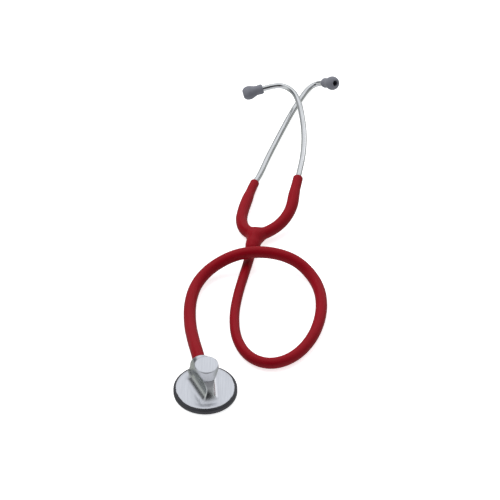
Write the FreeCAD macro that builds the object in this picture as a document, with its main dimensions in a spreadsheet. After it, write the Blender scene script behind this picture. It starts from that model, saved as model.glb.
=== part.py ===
# Acoustic stethoscope, single sided, lying on a flat surface.
# Units are millimetres, +Z is up and z = 0 is the surface the object lies on.
# The origin is under the middle of the object (its cord left out).
# The tubing makes one loop: it leaves the fork, runs round anticlockwise,
# crosses over itself in a low hump and enters the back of the chestpiece.
# The headset lies with its left arm down; its two ear tubes cross, the right
# arm's tube over the left arm's.
import FreeCAD, Part
import math
import os
import Sketcher

V = FreeCAD.Vector
doc = FreeCAD.newDocument("stethoscope")

# ------------------------------------------------------------------ dimensions
sheet = doc.addObject("Spreadsheet::Sheet", "dims")
DIMS = [
    # where the chestpiece centre and the headset stand in the frame
    ("centre_x", 44.27), ("centre_y", 176.103), ("chest_turn", 15.5), ("chest_x", 1.25),
    # chestpiece
    ("rim_outer_rad", 25.0), ("rim_inner_rad", 22.3), ("rim_height", 4.6),
    ("lip_rad", 23.4), ("lip_top", 5.3), ("knob_rad", 9.5), ("knob_bottom", 21.0),
    ("knob_top", 30.7), ("neck_rad", 8.7), ("boss_rad", 8.2), ("boss_len", 17.5),
    ("stem_height", 13.0), ("bore_rad", 2.2), ("splay", 11.0), ("waist", 5.2),
    ("waist_height", 11.6), ("wing_height", 6.0), ("wing_edge", 5.2), ("scoop_low_rad", 5.8), ("scoop_high_rad", 26.0),
    ("stem_rad", 3.0), ("stem_bore", 1.9), ("stem_barb", 3.45), ("stem_out", 12.0), ("stem_in", 12.0),
    ("diaphragm_rad", 19.6), ("diaphragm_low", 0.5), ("diaphragm_thick", 0.3),
    # tubing
    ("cord_rad", 4.75),
    # headset
    ("arm_rad", 4.7), ("yoke_rad", 5.4), ("lumen_rad", 3.2), ("yoke_bore", 2.4),
    ("knuckle_rad", 10.0), ("knuckle_gap", 0.06), ("right_lean", 17.0),
    ("ear_tube_rad", 2.45), ("ear_tube_bore", 1.75), ("ear_tube_in", 15.0), ("ear_bend_rad", 17.0),
    ("spring_width", 4.4), ("spring_thick", 0.5),
    ("clip_rad", 2.95), ("clip_len", 4.0), ("clip_gap", 0.2), ("rivet_rad", 0.6),
    ("tip_rad", 5.95), ("tip_len", 17.4), ("tip_bore", 2.4), ("insert_rad", 3.3), ("insert_len", 7.0),
]
for row, (alias, value) in enumerate(DIMS, 1):
    sheet.set("A%d" % row, alias)
    sheet.set("B%d" % row, str(value))
    sheet.setAlias("B%d" % row, alias)
doc.recompute()


def dim(alias):
    return float(sheet.get(alias))


OX, OY = dim("centre_x"), dim("centre_y")
TURN = dim("chest_turn")


def at(x, y, z):
    """A point given from the chestpiece's centre, in the frame."""
    return V(x - OX, y - OY, z)


CHEST = FreeCAD.Placement(at(dim("chest_x"), 0, 0), FreeCAD.Rotation(V(0, 0, 1), TURN))

final = {}


def keep(obj, name):
    obj.Label = name
    final[name] = obj
    return obj


def plane(body, role):
    for f in body.Origin.OriginFeatures:
        if f.Role == role:
            return f


def turned(label, points, placement=None, arcs=()):
    """A body turned about its own Z axis: points are (radius, height) pairs of
    expressions; arcs maps the index of an edge's first point to a point on it."""
    body = doc.addObject("PartDesign::Body", label + "_body")
    sk = body.newObject("Sketcher::SketchObject", label + "_profile")
    sk.AttachmentSupport = [(plane(body, "XZ_Plane"), "")]
    sk.MapMode = "FlatFace"
    vals = []
    for px, pz in points:
        vals.append((evaluate(px), evaluate(pz)))
    n = len(vals)
    arcs = dict(arcs)
    for i in range(n):
        a, b = vals[i], vals[(i + 1) % n]
        if i in arcs:
            mx, mz = arcs[i]
            g = Part.Arc(V(a[0], a[1], 0), V(mx, mz, 0), V(b[0], b[1], 0))
            sk.addGeometry(g, False)
        else:
            sk.addGeometry(Part.LineSegment(V(a[0], a[1], 0), V(b[0], b[1], 0)), False)
    # every corner's place is a pair of driving dimensions bound to the sheet
    for i in range(n):
        if i in arcs or ((i - 1) % n) in arcs:
            continue
        px, pz = points[i]
        for kind, expr, val in (("DistanceX", px, vals[i][0]), ("DistanceY", pz, vals[i][1])):
            if abs(val) < 1e-9:
                continue
            c = sk.addConstraint(Sketcher.Constraint(kind, -1, 1, i, 1, val))
            if isinstance(expr, str):
                sk.setExpression("Constraints[%d]" % c, expr)
    rev = body.newObject("PartDesign::Revolution", label + "_turned")
    rev.Profile = sk
    rev.ReferenceAxis = (sk, ["V_Axis"])
    rev.Angle = 360.0
    doc.recompute()
    body.Tip = rev
    if placement is not None:
        body.Placement = placement
    doc.recompute()
    return body


def evaluate(expr):
    """The value of a plain sum of sheet cells and numbers."""
    if not isinstance(expr, str):
        return float(expr)
    total, sign = 0.0, 1.0
    for word in expr.replace("+", " + ").replace("-", " - ").split():
        if word == "+":
            sign = 1.0
        elif word == "-":
            sign = -1.0
        elif word.startswith("dims."):
            total += sign * dim(word[5:])
        else:
            total += sign * float(word)
    return total


def cylinder(name, rad, height, placement):
    c = doc.addObject("Part::Cylinder", name)
    c.setExpression("Radius", rad)
    c.setExpression("Height", height)
    c.Placement = placement
    return c


def boolean(kind, name, base, tool):
    b = doc.addObject("Part::" + kind, name)
    b.Base = base
    b.Tool = tool
    doc.recompute()
    return b


def feature(name, shape, placement=None):
    f = doc.addObject("Part::Feature", name)
    f.Shape = shape
    if placement is not None:
        f.Placement = placement
    return f


# ------------------------------------------------------------------ paths
def rounded_path(points, share=0.45, radius=None):
    """Straight runs joined by tangent arcs. Each arc is as large as its two
    runs allow, or has the given radius where that is smaller."""
    edges, radii = [], []
    start = points[0]
    for i in range(1, len(points) - 1):
        a, b, c = points[i - 1], points[i], points[i + 1]
        u = (b - a).normalize()
        w = (c - b).normalize()
        turn = u.getAngle(w)
        short = min((b - a).Length, (c - b).Length)
        r = share * short / math.tan(turn / 2)
        if radius:
            r = min(r, radius)
        t = r * math.tan(turn / 2)
        p, q = b - u * t, b + w * t
        mid = (w - u).normalize()
        centre = b + mid * (r / math.cos(turn / 2))
        m = centre - mid * r
        if (p - start).Length > 1e-6:
            edges.append(Part.LineSegment(start, p).toShape())
        edges.append(Part.Arc(p, m, q).toShape())
        radii.append(r)
        start = q
    edges.append(Part.LineSegment(start, points[-1]).toShape())
    return Part.Wire(edges), radii


def pipe(wire, rad):
    e = wire.OrderedEdges[0]
    p0 = e.valueAt(e.FirstParameter)
    t0 = e.tangentAt(e.FirstParameter)
    ring = Part.Wire([Part.Circle(p0, t0, rad).toShape()])
    shell = Part.BRepOffsetAPI.MakePipeShell(wire)
    shell.add(ring)
    shell.build()
    shell.makeSolid()
    return shell.shape()


# ------------------------------------------------------------------ chestpiece
# Turned head: a short cylindrical knob over a deep concave flare that runs out
# to a thin disc; the underside is a shallow cup with the sound bore in it.
flare_a = (dim("lip_rad"), dim("lip_top"))
flare_b = (dim("neck_rad"), dim("knob_bottom"))
flare_mid = (flare_a[0] - (flare_a[0] - flare_b[0]) * 0.707, flare_b[1] - (flare_b[1] - flare_a[1]) * 0.707)
blank = turned("chest_blank", [
    (0, 4.4), (19.4, 2.5), ("dims.rim_inner_rad", 2.05), ("dims.rim_inner_rad", "dims.rim_height"),
    ("dims.lip_rad", "dims.rim_height"), ("dims.lip_rad", "dims.lip_top"),
    ("dims.neck_rad", "dims.knob_bottom"), ("dims.knob_rad", "dims.knob_bottom"),
    ("dims.knob_rad", "dims.knob_top - 0.4"), ("dims.knob_rad - 0.4", "dims.knob_top"), (0, "dims.knob_top"),
], CHEST, arcs={5: flare_mid})
back = FreeCAD.Placement(CHEST.multVec(V(0, 0, dim("stem_height"))), CHEST.Rotation.multiply(FreeCAD.Rotation(V(1, 0, 0), -90)))
boss = cylinder("stem_boss", "dims.boss_rad", "dims.boss_len", back)
doc.recompute()
fused = boolean("Fuse", "chest_head", blank, boss)


def scoop(side):
    """Finger scoop: a nearly flat floor, a fillet and a tall hollow wall, cut front to
    back and splayed so that the web between the two is narrow in front."""
    w, zw, zf = dim("waist"), dim("waist_height"), dim("wing_height")
    rl, rh = dim("scoop_low_rad"), dim("scoop_high_rad")
    top = 40.0
    x_top = w + rh - math.sqrt(rh * rh - (34.0 - zw) ** 2)

    def p(x, z):
        return V(side * x, -45.0, z)
    c = math.sqrt(0.5)
    # the wing falls a little towards the disc's edge
    z_out = zf - (zf - dim("wing_edge")) * (40.0 - w - rl) / (23.0 - w - rl)
    edges = [
        Part.LineSegment(p(40, z_out), p(w + rl, zf)).toShape(),
        Part.Arc(p(w + rl, zf), p(w + rl - rl * c, zw - rl * c), p(w, zw)).toShape(),
        Part.Arc(p(w, zw), p(w + rh - math.sqrt(rh * rh - 10.0 ** 2), zw + 10.0), p(x_top, 34.0)).toShape(),
        Part.LineSegment(p(x_top, 34.0), p(x_top, top)).toShape(),
        Part.LineSegment(p(x_top, top), p(40, top)).toShape(),
        Part.LineSegment(p(40, top), p(40, z_out)).toShape(),
    ]
    solid = Part.Face(Part.Wire(edges)).extrude(V(0, 90, 0))
    solid.rotate(V(side * w, 0, 0), V(0, 0, 1), -side * dim("splay"))
    return solid


shape = fused
for side, word in ((-1, "left"), (1, "right")):
    tool = feature(word + "_scoop", scoop(side), CHEST)
    shape = boolean("Cut", word + "_scooped", shape, tool)
up = FreeCAD.Placement(CHEST.multVec(V(0, 0, 1.0)), CHEST.Rotation)
bore_v = cylinder("sound_bore", "dims.bore_rad", "dims.stem_height - 1 + dims.bore_rad", up)
bore_h = cylinder("stem_hole", "dims.stem_rad", "dims.stem_in + 2",
                  FreeCAD.Placement(CHEST.multVec(V(0, dim("boss_len") - dim("stem_in"), dim("stem_height"))), back.Rotation))
bore_link = cylinder("sound_channel", "dims.stem_bore", "dims.boss_len - dims.stem_in + 0.5", back)
doc.recompute()
for k, tool in enumerate((bore_v, bore_h, bore_link)):
    shape = boolean("Cut", "chest_bored_%d" % k, shape, tool)
keep(shape, "chestpiece_body")

# Stem: a hollow pressed tube with two barbs that hold the tubing.
y0 = dim("boss_len") - dim("stem_in")
L = dim("stem_in") + dim("stem_out")
stem_place = FreeCAD.Placement(CHEST.multVec(V(0, y0, dim("stem_height"))), back.Rotation)
keep(turned("chestpiece_stem", [
    ("dims.stem_bore", 0), ("dims.stem_rad", 0), ("dims.stem_rad", "dims.stem_in + 2.6"),
    ("dims.stem_barb", "dims.stem_in + 2.8"), ("dims.stem_rad", "dims.stem_in + 6.4"),
    ("dims.stem_rad", "dims.stem_in + 6.8"), ("dims.stem_barb", "dims.stem_in + 7"),
    ("dims.stem_rad - 0.4", "dims.stem_in + dims.stem_out"), ("dims.stem_bore", "dims.stem_in + dims.stem_out"),
], stem_place), "chestpiece_stem")

# Soft rim that grips the edge of the disc, with a lip under the diaphragm's ring.
keep(turned("non_chill_rim", [
    (21.4, 0), ("dims.rim_outer_rad - 0.8", 0), ("dims.rim_outer_rad", 0.8),
    ("dims.rim_outer_rad", "dims.rim_height - 0.7"), ("dims.rim_outer_rad - 0.6", "dims.rim_height - 0.03"),
    ("dims.rim_inner_rad + 0.03", "dims.rim_height - 0.03"), ("dims.rim_inner_rad + 0.03", 0.9), (21.4, 0.9),
], CHEST), "non_chill_rim")

# Flexible ring that carries the diaphragm and lets it move inwards.
keep(turned("suspension_ring", [
    ("dims.diaphragm_rad + 0.05", "dims.diaphragm_low"), (21.3, "dims.diaphragm_low"), (21.3, 0.94), (22.28, 0.94), (22.28, 2.0),
    ("dims.diaphragm_rad + 0.05", 2.0),
], CHEST), "suspension_ring")

keep(turned("diaphragm", [
    (0, "dims.diaphragm_low"), ("dims.diaphragm_rad", "dims.diaphragm_low"),
    ("dims.diaphragm_rad", "dims.diaphragm_low + dims.diaphragm_thick"), (0, "dims.diaphragm_low + dims.diaphragm_thick"),
], CHEST), "diaphragm")

# ------------------------------------------------------------------ tubing
# The route of the tubing's centre, from the fork to the chestpiece's boss.
ROUTE = [
    (35.9, 161.6, 5.8),
    (33.1, 147.3, 5.1),
    (29.0, 129.0, 4.9),
    (24.2, 107.1, 4.9),
    (20.9, 81.9, 4.9),
    (22.7, 55.9, 4.9),
    (32.6, 34.7, 4.9),
    (49.8, 26.2, 4.9),
    (68.7, 34.1, 4.9),
    (83.3, 54.3, 4.9),
    (91.1, 79.8, 4.9),
    (92.0, 105.1, 4.9),
    (86.1, 126.1, 5.5),
    (71.5, 139.2, 12.5),
    (49.5, 144.5, 16.5),
    (24.8, 143.1, 16.1),
    (3.8, 135.5, 9.0),
    (-9.4, 119.9, 4.9),
    (-14.6, 97.3, 4.9),
    (-14.3, 72.4, 5.3),
    (-10.9, 49.5, 8.6),
]
route = [at(*p) for p in ROUTE]
# the last run is straight, in line with the boss, so that the end sits flat on it
route += [CHEST.multVec(V(0, dim("boss_len") + run, dim("stem_height"))) for run in (14.1, 0.0)]
cord_wire, cord_radii = rounded_path(route)
print("tubing radii", [round(r, 1) for r in cord_radii])
cord = feature("tubing_tube", pipe(cord_wire, dim("cord_rad")))
section = math.pi * dim("cord_rad") ** 2 * cord_wire.Length
print("tubing length %.1f volume %.0f section x length %.0f" % (cord_wire.Length, cord.Shape.Volume, section))
assert abs(cord.Shape.Volume / section - 1) < 0.01
keep(cord, "tubing")

# ------------------------------------------------------------------ yoke
# The fork is moulded round the ends of the ear tubes and a leaf spring. It is
# held here as a stem and two arms, parted along round faces about the two
# lines that the arms bend about.
FORK = (38.9, 174.0, 6.3)
stem_end = ROUTE[0]
LEFT = [
    FORK,
    (29.0, 182.9, 5.8),
    (26.3, 194.4, 5.3),
    (27.7, 206.0, 5.0),
    (30.8, 217.8, 4.9),
    (38.3, 243.2, 4.9),
]
RIGHT = [
    FORK,
    (43.4, 175.6, 6.8),
    (51.7, 179.5, 8.1),
    (59.3, 185.7, 9.8),
    (65.2, 194.6, 11.6),
    (69.1, 205.4, 13.2),
    (70.3, 211.5, 13.9),
    (74.7, 235.8, 16.7),
]
LEFT_TUBE = [
    (48.3, 272.2, 4.8),
    (55.2, 292.4, 4.8),
    (62.2, 312.4, 4.7),
    (69.4, 332.6, 4.7),
    (77.6, 352.4, 4.4),
    (86.5, 372.5, 3.4),
    (96.2, 376.0, 5.7),
    (103.5, 366.5, 13.0),
]
RIGHT_TUBE = [
    (78.6, 259.7, 17.8),
    (79.9, 276.9, 18.3),
    (80.1, 294.1, 18.5),
    (79.0, 312.3, 18.3),
    (77.2, 330.0, 18.2),
    (73.1, 348.0, 17.8),
    (62.8, 358.3, 17.5),
    (51.6, 355.8, 17.7),
    (38.7, 353.2, 14.9),
]


def cut_at(points, pivot):
    """The path's points up to the pivot, and from it on."""
    return points[:pivot + 1], points[pivot:]


def arm_parts(points, pivot, rad):
    pts = [at(*p) for p in points]
    wire, _ = rounded_path(pts)
    whole = pipe(wire, rad)
    return wire, whole


# The left arm opens flat along the surface. The right arm lies higher and its
# line leans with the fork's own plane, so its ear tube lifts over the other
# arm's ear tip as it opens.
lean = math.radians(dim("right_lean"))
BEND_LINE = {"left": V(0, 0, 1), "right": V(-math.sin(lean), 0, math.cos(lean))}


def about(word, pivot, rad):
    """A long round about an arm's bending line."""
    return Part.makeCylinder(rad, 120, pivot - BEND_LINE[word] * 60, BEND_LINE[word])


yoke = {}
for word, pts, pivot in (("left", LEFT, 2), ("right", RIGHT, 3)):
    wire, whole = arm_parts(pts, pivot, dim("arm_rad"))
    lumen_wire = wire
    P = at(*pts[pivot])
    knuckle = about(word, P, dim("knuckle_rad"))
    # a long block on the arm's far side of the pivot, square to the arm there
    ahead = (at(*pts[pivot + 1]) - at(*pts[pivot - 1]))
    ahead.z = 0
    ahead.normalize()
    side = V(-ahead.y, ahead.x, 0)
    block = Part.Face(Part.makePolygon([P + side * 60, P - side * 60, P - side * 60 + ahead * 120, P + side * 60 + ahead * 120, P + side * 60]))
    block.translate(V(0, 0, -40 - P.z))
    block = block.extrude(V(0, 0, 100))
    region = block.fuse(knuckle).removeSplitter()
    inner_pts = [at(*p) for p in pts[:-1]]
    tip = at(*pts[-1])
    last = (tip - at(*pts[-2])).normalize()
    inner_end = tip - last * dim("ear_tube_in")
    lumen_pts = [at(*p) for p in pts[:-1]] + [inner_end]
    lumen_w, _ = rounded_path(lumen_pts)
    lumen = pipe(lumen_w, dim("lumen_rad"))
    socket = Part.makeCylinder(dim("ear_tube_rad"), dim("ear_tube_in") + 1, inner_end, last)
    yoke[word] = dict(wire=wire, whole=whole, knuckle=knuckle, region=region, lumen=lumen, socket=socket,
                      tip=tip, last=last, pivot=P, inner_end=inner_end, lumen_pts=lumen_pts)

for word in ("left", "right"):
    y = yoke[word]
    arm = y["whole"].common(y["region"]).cut(y["lumen"]).cut(y["socket"])
    solids = sorted(arm.Solids, key=lambda q: -q.Volume)
    # soft rounding of the arm's open end
    keep(feature(word + "_yoke_arm_solid", solids[0]), word + "_yoke_arm")

fork = at(*FORK)
stem_top = fork
stem_dir = (at(*ROUTE[0]) - fork)
flare = Part.makeCone(dim("cord_rad"), dim("yoke_rad"), 6.0, at(*ROUTE[0]), -stem_dir)
ball = Part.makeSphere(dim("yoke_rad"), fork)
stem_main = Part.makeCylinder(dim("yoke_rad"), stem_dir.Length - 6.0, fork, stem_dir)
# a little over length, then cut square to the tubing's first run
spare = Part.makeCylinder(dim("cord_rad"), 2.0, route[0], stem_dir)
crotch = stem_main.fuse([ball, flare, spare])
for word in ("left", "right"):
    y = yoke[word]
    gap = about(word, y["pivot"], dim("knuckle_rad") + dim("knuckle_gap"))
    root = y["whole"].cut(y["region"]).cut(gap)
    root = sorted(root.Solids, key=lambda q: (q.CenterOfMass - fork).Length)[0]
    crotch = crotch.fuse(root)
for word in ("left", "right"):
    y = yoke[word]
    gap = about(word, y["pivot"], dim("knuckle_rad") + dim("knuckle_gap"))
    crotch = crotch.cut(gap).cut(y["lumen"])
chamber = Part.makeSphere(dim("lumen_rad") + 0.9, fork)
stem_bore = Part.makeCylinder(dim("yoke_bore"), stem_dir.Length + 3, fork, stem_dir)
crotch = crotch.cut(chamber).cut(stem_bore)
crotch = crotch.cut(Part.makeCylinder(12, 20, route[0], route[1] - route[0]))
crotch = sorted(crotch.Solids, key=lambda q: -q.Volume)[0]
keep(feature("yoke_stem_solid", crotch), "yoke_stem")

# Leaf spring: one strip of spring steel bent to a U inside the fork.
def strip(wire, normal):
    e = wire.OrderedEdges[0]
    p0 = e.valueAt(e.FirstParameter)
    t0 = e.tangentAt(e.FirstParameter)
    side = normal.cross(t0).normalize()
    upv = t0.cross(side).normalize()
    hw, ht = dim("spring_width") / 2, dim("spring_thick") / 2
    rect = Part.makePolygon([p0 + side * ht + upv * hw, p0 - side * ht + upv * hw, p0 - side * ht - upv * hw, p0 + side * ht - upv * hw, p0 + side * ht + upv * hw])
    shell = Part.BRepOffsetAPI.MakePipeShell(wire)
    shell.setBiNormalMode(normal)
    shell.add(Part.Wire(rect.Edges))
    shell.build()
    shell.makeSolid()
    return shell.shape()


def back_from(pts, length):
    """The path's points with its end drawn back along its last run."""
    d = (pts[-1] - pts[-2]).normalize()
    return pts[:-1] + [pts[-1] - d * length]


lp = back_from(yoke["left"]["lumen_pts"], 6.5)
rp = back_from(yoke["right"]["lumen_pts"], 6.5)
u_points = list(reversed(lp[1:])) + [fork + V(0, 1.6, 0)] + rp[1:]
n_plane = V(-0.28, -0.06, 0.96)
spring_wire, _ = rounded_path(u_points)
keep(feature("leaf_spring_strip", strip(spring_wire, n_plane)), "leaf_spring")

# ------------------------------------------------------------------ ear tubes
def ear_tube(word, pts):
    y = yoke[word]
    # straight through the arm's open end, then along its own line
    path = [y["inner_end"], y["tip"] + y["last"] * 8.0] + [at(*p) for p in pts]
    wire, radii = rounded_path(path, radius=None)
    outer = pipe(wire, dim("ear_tube_rad"))
    inner = pipe(wire, dim("ear_tube_bore"))
    tube = outer.cut(inner)
    end = path[-1]
    direction = (path[-1] - path[-2]).normalize()
    print(word, "ear tube length %.1f" % wire.Length, "radii", [round(r, 1) for r in radii])
    return keep(feature(word + "_ear_tube_bent", tube), word + "_ear_tube"), end, direction, wire


ends = {}
for word, pts in (("left", LEFT_TUBE), ("right", RIGHT_TUBE)):
    _, end, direction, wire = ear_tube(word, pts)
    ends[word] = (end, direction)

for word in ("left", "right"):
    y = yoke[word]
    # crimped clip that ties the spring to the ear tube, and its rivet
    d = y["last"]
    p = y["inner_end"] - d * dim("clip_gap")
    clip = Part.makeCylinder(dim("clip_rad"), dim("clip_len"), p - d * dim("clip_len"), d)
    clip = clip.cut(Part.makeCylinder(dim("clip_rad") - 0.6, dim("clip_len"), p - d * dim("clip_len") - d * 0.01, d))
    keep(feature(word + "_spring_clip_ring", clip), word + "_spring_clip")
    side = n_plane.cross(d).normalize()
    q = p - d * (dim("clip_len") / 2)
    rivet = Part.makeCylinder(dim("rivet_rad"), 2 * (dim("clip_rad") - 0.65), q - side * (dim("clip_rad") - 0.65), side)
    keep(feature(word + "_spring_rivet_pin", rivet), word + "_spring_rivet")

# Ear tips: soft bulbs on hard inserts that push onto the ear tubes' ends.
for word in ("left", "right"):
    end, direction = ends[word]
    # local Z runs out of the ear tube's end
    rot = FreeCAD.Rotation(V(0, 0, 1), direction)
    base = FreeCAD.Placement(end - direction * dim("insert_len"), rot)
    keep(turned(word + "_tip_insert", [
        ("dims.ear_tube_rad + 0.03", 0), ("dims.insert_rad - 0.3", 0), ("dims.insert_rad", 0.4),
        ("dims.insert_rad", 1.2), ("dims.insert_rad - 0.3", 1.5), ("dims.insert_rad - 0.3", "dims.insert_len + 0.6"),
        ("dims.ear_tube_bore", "dims.insert_len + 0.6"), ("dims.ear_tube_bore", "dims.insert_len + 0.03"),
        ("dims.ear_tube_rad + 0.03", "dims.insert_len + 0.03"),
    ], base), word + "_tip_insert")
    keep(turned(word + "_ear_tip", [
        ("dims.insert_rad + 0.03", 0), (4.05, 0), (4.2, 1.6), (4.05, 3.6), (4.0, 5.4), (4.5, 7.6), ("dims.tip_rad - 0.45", 10.0),
        ("dims.tip_rad", 12.3), ("dims.tip_rad - 0.35", 14.4), ("dims.tip_rad - 1.2", 16.1), ("dims.tip_rad - 2.2", "dims.tip_len - 0.3"),
        ("dims.tip_rad - 2.9", "dims.tip_len"), ("dims.tip_bore", "dims.tip_len"), ("dims.tip_bore", "dims.insert_len + 0.63"),
        ("dims.insert_rad + 0.03", "dims.insert_len + 0.63"),
    ], base), word + "_ear_tip")

doc.recompute()

# ------------------------------------------------------------------ checks and files
for o in doc.Objects:
    if "Invalid" in o.State or "Error" in o.State:
        raise SystemExit("failed object %s %s" % (o.Name, o.State))
os.makedirs("parts", exist_ok=True)
box = FreeCAD.BoundBox()
for name, obj in final.items():
    s = obj.Shape
    if s.isNull() or not s.isValid():
        raise SystemExit("bad shape " + name)
    if name != "tubing":
        box.add(s.optimalBoundingBox(False))
    print("%-20s solids %d volume %9.1f  z %.2f..%.2f" % (name, len(s.Solids), s.Volume, s.BoundBox.ZMin, s.BoundBox.ZMax))
    s.exportStep("parts/%s.step" % name)
print("object box without tubing", [round(v, 3) for v in (box.XMin, box.YMin, box.ZMin, box.XMax, box.YMax, box.ZMax)],
      "centre", round((box.XMin + box.XMax) / 2, 4), round((box.YMin + box.YMax) / 2, 4))
for word in ("left", "right"):
    e, d = ends[word]
    print(word, "ear end", [round(v, 4) for v in e], "dir", [round(v, 6) for v in d], "pivot", [round(v, 2) for v in yoke[word]["pivot"]])
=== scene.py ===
import math
import bpy
import bmesh
import numpy as np
from mathutils import Matrix, Vector


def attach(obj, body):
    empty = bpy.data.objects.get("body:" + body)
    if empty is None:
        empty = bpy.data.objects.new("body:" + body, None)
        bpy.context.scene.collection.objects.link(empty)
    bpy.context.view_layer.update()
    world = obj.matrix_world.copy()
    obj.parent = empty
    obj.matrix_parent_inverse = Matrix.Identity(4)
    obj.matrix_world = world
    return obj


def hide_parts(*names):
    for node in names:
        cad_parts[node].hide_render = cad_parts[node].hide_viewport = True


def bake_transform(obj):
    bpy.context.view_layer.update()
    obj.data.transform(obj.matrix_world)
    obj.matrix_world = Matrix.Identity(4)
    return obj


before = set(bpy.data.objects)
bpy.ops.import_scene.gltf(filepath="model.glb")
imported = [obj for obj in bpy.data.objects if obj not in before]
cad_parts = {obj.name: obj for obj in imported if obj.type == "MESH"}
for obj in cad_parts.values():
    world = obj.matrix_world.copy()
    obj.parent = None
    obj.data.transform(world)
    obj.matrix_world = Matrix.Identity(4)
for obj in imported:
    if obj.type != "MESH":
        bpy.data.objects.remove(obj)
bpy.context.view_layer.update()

# ---------------------------------------------------------------- the frame's figures
# Points are worked out in millimetres from the chestpiece's centre and then put in
# the frame, in metres.
CX, CY = 44.27, 176.103
TURN = math.radians(15.5)
CHEST_X = 1.25


def at(x, y, z):
    return Vector(((x - CX) / 1000.0, (y - CY) / 1000.0, z / 1000.0))


def chest(x, y, z):
    """A point in the chestpiece's own turned axes (its back is +Y)."""
    c, s = math.cos(TURN), math.sin(TURN)
    return at(x * c - y * s + CHEST_X, x * s + y * c, z)


def smooth(o, angle=None):
    me = o.data
    me.polygons.foreach_set("use_smooth", np.ones(len(me.polygons), bool))
    if angle is not None:
        me.set_sharp_from_angle(angle=math.radians(angle))
    me.update()


def new_object(name, me):
    o = bpy.data.objects.new(name, me)
    bpy.context.scene.collection.objects.link(o)
    return o


def mesh_of(name, verts, faces):
    me = bpy.data.meshes.new(name)
    me.from_pydata([tuple(v) for v in verts], [], faces)
    me.validate()
    me.update()
    return new_object(name, me)


# ---------------------------------------------------------------- materials
class Nodes:
    def __init__(self, name):
        self.m = bpy.data.materials.new(name)
        self.m.use_nodes = True
        self.t = self.m.node_tree
        self.b = self.t.nodes["Principled BSDF"]

    def n(self, kind, **kw):
        node = self.t.nodes.new(kind)
        for k, v in kw.items():
            if k in node.inputs:
                node.inputs[k].default_value = v
            else:
                setattr(node, k, v)
        return node

    def link(self, a, b):
        self.t.links.new(a, b)

    def coords(self, scale=(1, 1, 1), rotation=(0, 0, 0), location=(0, 0, 0)):
        tc = self.n("ShaderNodeTexCoord")
        mp = self.n("ShaderNodeMapping")
        mp.inputs["Scale"].default_value = scale
        mp.inputs["Rotation"].default_value = rotation
        mp.inputs["Location"].default_value = location
        self.link(tc.outputs["Object"], mp.inputs["Vector"])
        return mp.outputs["Vector"]

    def noise(self, vec, scale, detail=4.0, rough=0.55, distortion=0.0):
        nz = self.n("ShaderNodeTexNoise")
        nz.inputs["Scale"].default_value = scale
        nz.inputs["Detail"].default_value = detail
        nz.inputs["Roughness"].default_value = rough
        nz.inputs["Distortion"].default_value = distortion
        self.link(vec, nz.inputs["Vector"])
        return nz.outputs["Fac"]

    def ramp(self, fac, stops, mode="LINEAR"):
        r = self.n("ShaderNodeValToRGB")
        r.color_ramp.interpolation = mode
        els = r.color_ramp.elements
        while len(els) < len(stops):
            els.new(0.5)
        for e, (p, c) in zip(els, stops):
            e.position = p
            e.color = (c[0], c[1], c[2], 1.0) if hasattr(c, "__len__") else (c, c, c, 1.0)
        self.link(fac, r.inputs["Fac"])
        return r.outputs["Color"]

    def maprange(self, fac, a, b, c, d):
        r = self.n("ShaderNodeMapRange")
        for k, v in zip(("From Min", "From Max", "To Min", "To Max"), (a, b, c, d)):
            r.inputs[k].default_value = v
        self.link(fac, r.inputs["Value"])
        return r.outputs["Result"]

    def math(self, op, a, b=None):
        r = self.n("ShaderNodeMath", operation=op)
        for i, v in enumerate((a, b)):
            if v is None:
                continue
            if hasattr(v, "is_output"):
                self.link(v, r.inputs[i])
            else:
                r.inputs[i].default_value = v
        return r.outputs[0]

    def mix(self, fac, a, b):
        r = self.n("ShaderNodeMix", data_type="RGBA")
        for sock, v in ((r.inputs[0], fac), (r.inputs[6], a), (r.inputs[7], b)):
            if hasattr(v, "is_output"):
                self.link(v, sock)
            else:
                sock.default_value = v if not hasattr(v, "__len__") else (*v, 1.0)[:4]
        return r.outputs[2]

    def bump(self, height, strength, distance, normal=None):
        r = self.n("ShaderNodeBump")
        r.inputs["Strength"].default_value = strength
        r.inputs["Distance"].default_value = distance
        self.link(height, r.inputs["Height"])
        if normal is not None:
            self.link(normal, r.inputs["Normal"])
        return r.outputs["Normal"]

    def set(self, **kw):
        for k, v in kw.items():
            k = k.replace("_", " ")
            s = self.b.inputs[k]
            if hasattr(v, "is_output"):
                self.link(v, s)
            elif hasattr(v, "__len__") and len(v) == 3 and s.type == "RGBA":
                s.default_value = (*v, 1.0)
            else:
                s.default_value = v
        return self.m


def red_pvc():
    k = Nodes("red_pvc_tube")
    v = k.coords()
    cloud = k.noise(v, 28.0, 3.0, 0.5)
    fine = k.noise(v, 900.0, 3.0, 0.6)
    col = k.ramp(cloud, [(0.3, (0.285, 0.0020, 0.0085)), (0.7, (0.325, 0.0028, 0.0115))])
    rough = k.math("ADD", k.maprange(cloud, 0.3, 0.7, 0.40, 0.46), k.maprange(fine, 0.3, 0.7, -0.03, 0.03))
    n1 = k.bump(fine, 0.10, 0.00012)
    n2 = k.bump(k.noise(v, 60.0, 2.0, 0.5), 0.06, 0.0006, n1)
    return k.set(Base_Color=col, Roughness=rough, Normal=n2, IOR=1.40, Specular_IOR_Level=0.2)


def grey_silicone():
    k = Nodes("grey_silicone")
    v = k.coords()
    cloud = k.noise(v, 160.0, 3.0, 0.5)
    fine = k.noise(v, 1800.0, 2.0, 0.6)
    col = k.ramp(cloud, [(0.3, (0.205, 0.209, 0.240)), (0.7, (0.250, 0.254, 0.290))])
    return k.set(Base_Color=col, Roughness=k.maprange(fine, 0.3, 0.7, 0.52, 0.64),
                 Normal=k.bump(fine, 0.12, 0.00008), IOR=1.41, Sheen_Weight=0.15, Sheen_Roughness=0.4)


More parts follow.
